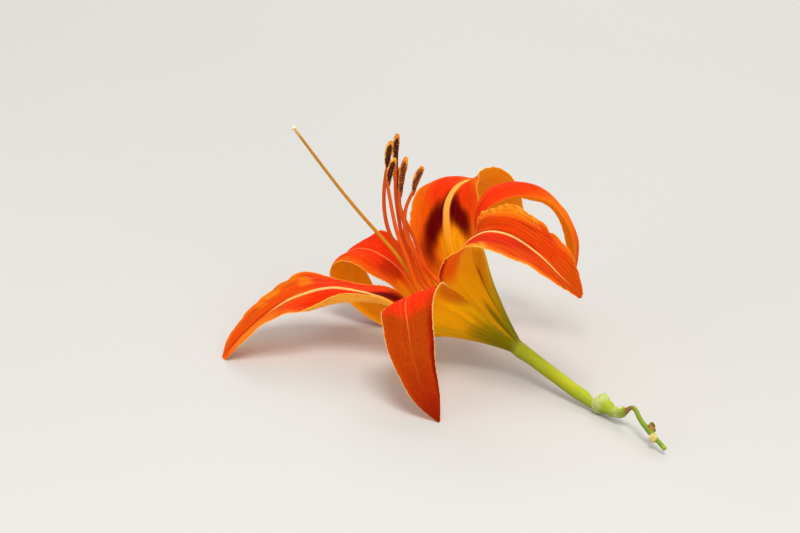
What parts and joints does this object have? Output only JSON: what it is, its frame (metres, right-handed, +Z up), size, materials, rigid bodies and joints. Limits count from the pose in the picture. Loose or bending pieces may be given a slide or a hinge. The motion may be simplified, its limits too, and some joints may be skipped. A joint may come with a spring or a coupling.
{
  "type": "daylily flower",
  "caption": "Open daylily flower lying on a surface: recurved wavy petals and narrower sepals round a funnel throat, arched stamens, a long style and a short knobby stem.",
  "frame": {"origin": "centre of the bounding box's footprint, on the surface that the flower lies on", "axes": "+Z up from the surface; +X from the left petal's tip towards the stem's cut end; +Y away from the picture's viewer"},
  "size_m": [0.1172, 0.0989, 0.0554],
  "materials": {
    "petal": "satin",
    "sepal": "satin",
    "filament": "satin",
    "anther": "matte",
    "style": "satin",
    "tube": "satin",
    "stem": "satin"
  },
  "bodies": {
    "root": {"petal_left": "petal", "petal_top": "petal", "petal_right": "petal", "sepal_front": "sepal", "sepal_rear": "sepal", "sepal_right": "sepal", "filament_1": "filament", "filament_2": "filament", "filament_3": "filament", "filament_4": "filament", "filament_5": "filament", "filament_6": "filament", "anther_1": "anther", "anther_2": "anther", "anther_3": "anther", "anther_4": "anther", "anther_5": "anther", "anther_6": "anther", "pistil": "style", "floral_tube": "tube", "stem": "stem"}
  },
  "joints": []
}
